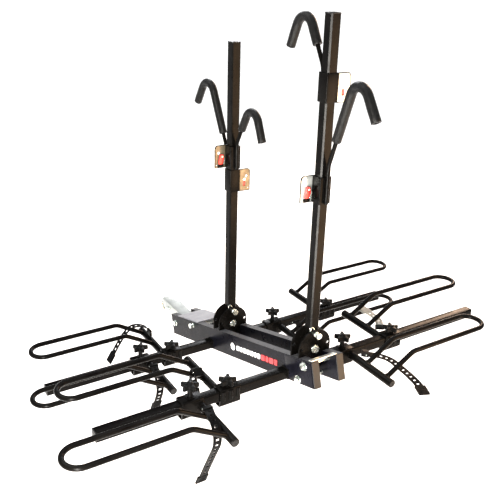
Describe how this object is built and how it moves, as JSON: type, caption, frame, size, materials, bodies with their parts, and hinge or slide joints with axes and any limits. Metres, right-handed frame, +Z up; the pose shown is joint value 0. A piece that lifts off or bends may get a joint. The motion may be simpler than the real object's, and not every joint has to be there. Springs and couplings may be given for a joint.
{
  "type": "hitch mounted bike rack",
  "caption": "Fold-up platform rack for a tow hitch: sloping spine, folding uprights with foam-covered frame hooks, and sliding wheel loops on cross arms.",
  "frame": {"origin": "underside of the hitch tongue, straight below the axis of its hitch pin hole", "axes": "+X rearward, away from the car; +Y across the car to the right-hand side of a viewer who looks forward at the rack; +Z up"},
  "size_m": [1.2854, 1.7058, 1.3049],
  "materials": {
    "black_paint": "satin black powder coat",
    "rail_paint": "satin charcoal powder coat",
    "zinc": "bright zinc plate",
    "foam": "closed cell foam sleeve",
    "strap": "moulded ladder strap",
    "knob_plastic": "moulded nylon",
    "cap_plastic": "moulded plastic",
    "lever_red": "moulded plastic"
  },
  "bodies": {
    "tongue": {"hitch_tongue": "zinc"},
    "hitch_pin": {"hitch_pin": "zinc"},
    "spine": {"rail_left": "rail_paint", "rail_right": "rail_paint", "rail_cap_left": "cap_plastic", "rail_cap_right": "cap_plastic", "front_cover_plate": "rail_paint", "rear_tie_bar": "zinc", "cross_bolt_upper": "zinc", "cross_bolt_lower": "zinc", "fold_pivot_bolt": "zinc", "front_arm": "black_paint", "rear_arm": "black_paint", "front_pivot_plate_a": "black_paint", "front_pivot_plate_b": "black_paint", "rear_pivot_plate_a": "black_paint", "rear_pivot_plate_b": "black_paint", "front_upright_bolt": "zinc", "rear_upright_bolt": "zinc"},
    "fold_lock_pin": {"fold_lock_pin": "zinc"},
    "front_upright": {"front_upright": "black_paint"},
    "front_upright_pin": {"front_upright_pin": "zinc"},
    "front_upper_hook": {"front_upper_hook": "black_paint", "front_upper_hook_foam": "foam"},
    "front_upper_release": {"front_upper_release": "lever_red"},
    "front_lower_hook": {"front_lower_hook": "black_paint", "front_lower_hook_foam": "foam"},
    "front_lower_release": {"front_lower_release": "lever_red"},
    "front_left_inner_cradle": {"front_left_inner_cradle": "black_paint", "front_left_inner_strap": "strap"},
    "front_left_inner_knob": {"front_left_inner_knob": "knob_plastic"},
    "front_left_outer_cradle": {"front_left_outer_cradle": "black_paint", "front_left_outer_strap": "strap"},
    "front_left_outer_knob": {"front_left_outer_knob": "knob_plastic"},
    "front_right_inner_cradle": {"front_right_inner_cradle": "black_paint", "front_right_inner_strap": "strap"},
    "front_right_inner_knob": {"front_right_inner_knob": "knob_plastic"},
    "front_right_outer_cradle": {"front_right_outer_cradle": "black_paint", "front_right_outer_strap": "strap"},
    "front_right_outer_knob": {"front_right_outer_knob": "knob_plastic"},
    "rear_upright": {"rear_upright": "black_paint"},
    "rear_upright_pin": {"rear_upright_pin": "zinc"},
    "rear_upper_hook": {"rear_upper_hook": "black_paint", "rear_upper_hook_foam": "foam"},
    "rear_upper_release": {"rear_upper_release": "lever_red"},
    "rear_lower_hook": {"rear_lower_hook": "black_paint", "rear_lower_hook_foam": "foam"},
    "rear_lower_release": {"rear_lower_release": "lever_red"},
    "rear_left_inner_cradle": {"rear_left_inner_cradle": "black_paint", "rear_left_inner_strap": "strap"},
    "rear_left_inner_knob": {"rear_left_inner_knob": "knob_plastic"},
    "rear_left_outer_cradle": {"rear_left_outer_cradle": "black_paint", "rear_left_outer_strap": "strap"},
    "rear_left_outer_knob": {"rear_left_outer_knob": "knob_plastic"},
    "rear_right_inner_cradle": {"rear_right_inner_cradle": "black_paint", "rear_right_inner_strap": "strap"},
    "rear_right_inner_knob": {"rear_right_inner_knob": "knob_plastic"},
    "rear_right_outer_cradle": {"rear_right_outer_cradle": "black_paint", "rear_right_outer_strap": "strap"},
    "rear_right_outer_knob": {"rear_right_outer_knob": "knob_plastic"}
  },
  "joints": [
    {"name": "rack_fold", "type": "hinge", "parent": "tongue", "child": "spine", "pos_m": [0.135, 0, 0.028], "axis": [0, -1, 0], "range_deg": [0, 73]},
    {"name": "hitch_pin_pull", "type": "slide", "parent": "tongue", "child": "hitch_pin", "axis": [0, -1, 0], "range_m": [0, 0.1]},
    {"name": "fold_lock_pull", "type": "slide", "parent": "spine", "child": "fold_lock_pin", "axis": [0, -1, 0], "range_m": [0, 0.02], "stiffness_N_per_m": 300},
    {"name": "front_upright_fold", "type": "hinge", "parent": "spine", "child": "front_upright", "pos_m": [0.46832, 0, 0.18461], "axis": [-1, 0, 0], "range_deg": [0, 80]},
    {"name": "front_upright_pin_pull", "type": "slide", "parent": "spine", "child": "front_upright_pin", "axis": [1, 0, 0], "range_m": [0, 0.015], "stiffness_N_per_m": 300},
    {"name": "front_upper_hook_slide", "type": "slide", "parent": "front_upright", "child": "front_upper_hook", "axis": [0, 0, 1], "range_m": [0, 0.29]},
    {"name": "front_upper_release_press", "type": "hinge", "parent": "front_upper_hook", "child": "front_upper_release", "pos_m": [0.45644, -0.03528, 0.79861], "axis": [-1, 0, 0], "range_deg": [0, 25], "stiffness_Nm_per_rad": 0.05},
    {"name": "front_lower_hook_slide", "type": "slide", "parent": "front_upright", "child": "front_lower_hook", "axis": [0, 0, 1], "range_m": [-0.3, 0]},
    {"name": "front_lower_release_press", "type": "hinge", "parent": "front_lower_hook", "child": "front_lower_release", "pos_m": [0.48019, 0.03528, 0.71961], "axis": [1, 0, 0], "range_deg": [0, 25], "stiffness_Nm_per_rad": 0.05},
    {"name": "front_left_inner_cradle_slide", "type": "slide", "parent": "spine", "child": "front_left_inner_cradle", "axis": [0, 1, 0], "range_m": [-0.02, 0.1]},
    {"name": "front_left_inner_knob_turn", "type": "hinge", "parent": "front_left_inner_cradle", "child": "front_left_inner_knob", "pos_m": [0.43012, -0.22, 0.11782], "axis": [0, 0, 1], "continuous": true},
    {"name": "front_left_outer_cradle_slide", "type": "slide", "parent": "spine", "child": "front_left_outer_cradle", "axis": [0, 1, 0], "range_m": [-0.27, 0.02]},
    {"name": "front_left_outer_knob_turn", "type": "hinge", "parent": "front_left_outer_cradle", "child": "front_left_outer_knob", "pos_m": [0.43012, -0.338, 0.14082], "axis": [0, 0, 1], "continuous": true},
    {"name": "front_right_inner_cradle_slide", "type": "slide", "parent": "spine", "child": "front_right_inner_cradle", "axis": [0, 1, 0], "range_m": [-0.1, 0.09]},
    {"name": "front_right_inner_knob_turn", "type": "hinge", "parent": "front_right_inner_cradle", "child": "front_right_inner_knob", "pos_m": [0.43012, 0.212, 0.14082], "axis": [0, 0, 1], "continuous": true},
    {"name": "front_right_outer_cradle_slide", "type": "slide", "parent": "spine", "child": "front_right_outer_cradle", "axis": [0, 1, 0], "range_m": [-0.09, 0.22]},
    {"name": "front_right_outer_knob_turn", "type": "hinge", "parent": "front_right_outer_cradle", "child": "front_right_outer_knob", "pos_m": [0.43012, 0.474, 0.11782], "axis": [0, 0, 1], "continuous": true},
    {"name": "rear_upright_fold", "type": "hinge", "parent": "spine", "child": "rear_upright", "pos_m": [0.94502, 0, 0.32717], "axis": [-1, 0, 0], "range_deg": [0, 80]},
    {"name": "rear_upright_pin_pull", "type": "slide", "parent": "spine", "child": "rear_upright_pin", "axis": [1, 0, 0], "range_m": [0, 0.015], "stiffness_N_per_m": 300},
    {"name": "rear_upper_hook_slide", "type": "slide", "parent": "rear_upright", "child": "rear_upper_hook", "axis": [0, 0, 1], "range_m": [-0.09, 0.14]},
    {"name": "rear_upper_release_press", "type": "hinge", "parent": "rear_upper_hook", "child": "rear_upper_release", "pos_m": [0.95689, 0.03528, 1.09717], "axis": [1, 0, 0], "range_deg": [0, 25], "stiffness_Nm_per_rad": 0.05},
    {"name": "rear_lower_hook_slide", "type": "slide", "parent": "rear_upright", "child": "rear_lower_hook", "axis": [0, 0, 1], "range_m": [-0.28, 0.09]},
    {"name": "rear_lower_release_press", "type": "hinge", "parent": "rear_lower_hook", "child": "rear_lower_release", "pos_m": [0.93314, -0.03528, 0.82217], "axis": [-1, 0, 0], "range_deg": [0, 25], "stiffness_Nm_per_rad": 0.05},
    {"name": "rear_left_inner_cradle_slide", "type": "slide", "parent": "spine", "child": "rear_left_inner_cradle", "axis": [0, 1, 0], "range_m": [-0.02, 0.13]},
    {"name": "rear_left_inner_knob_turn", "type": "hinge", "parent": "rear_left_inner_cradle", "child": "rear_left_inner_knob", "pos_m": [0.90682, -0.267, 0.26038], "axis": [0, 0, 1], "continuous": true},
    {"name": "rear_left_outer_cradle_slide", "type": "slide", "parent": "spine", "child": "rear_left_outer_cradle", "axis": [0, 1, 0], "range_m": [-0.24, 0.02]},
    {"name": "rear_left_outer_knob_turn", "type": "hinge", "parent": "rear_left_outer_cradle", "child": "rear_left_outer_knob", "pos_m": [0.90682, -0.389, 0.28338], "axis": [0, 0, 1], "continuous": true},
    {"name": "rear_right_inner_cradle_slide", "type": "slide", "parent": "spine", "child": "rear_right_inner_cradle", "axis": [0, 1, 0], "range_m": [-0.06, 0.07]},
    {"name": "rear_right_inner_knob_turn", "type": "hinge", "parent": "rear_right_inner_cradle", "child": "rear_right_inner_knob", "pos_m": [0.90682, 0.158, 0.28338], "axis": [0, 0, 1], "continuous": true},
    {"name": "rear_right_outer_cradle_slide", "type": "slide", "parent": "spine", "child": "rear_right_outer_cradle", "axis": [0, 1, 0], "range_m": [-0.06, 0.3]},
    {"name": "rear_right_outer_knob_turn", "type": "hinge", "parent": "rear_right_outer_cradle", "child": "rear_right_outer_knob", "pos_m": [0.90682, 0.366, 0.26038], "axis": [0, 0, 1], "continuous": true}
  ]
}
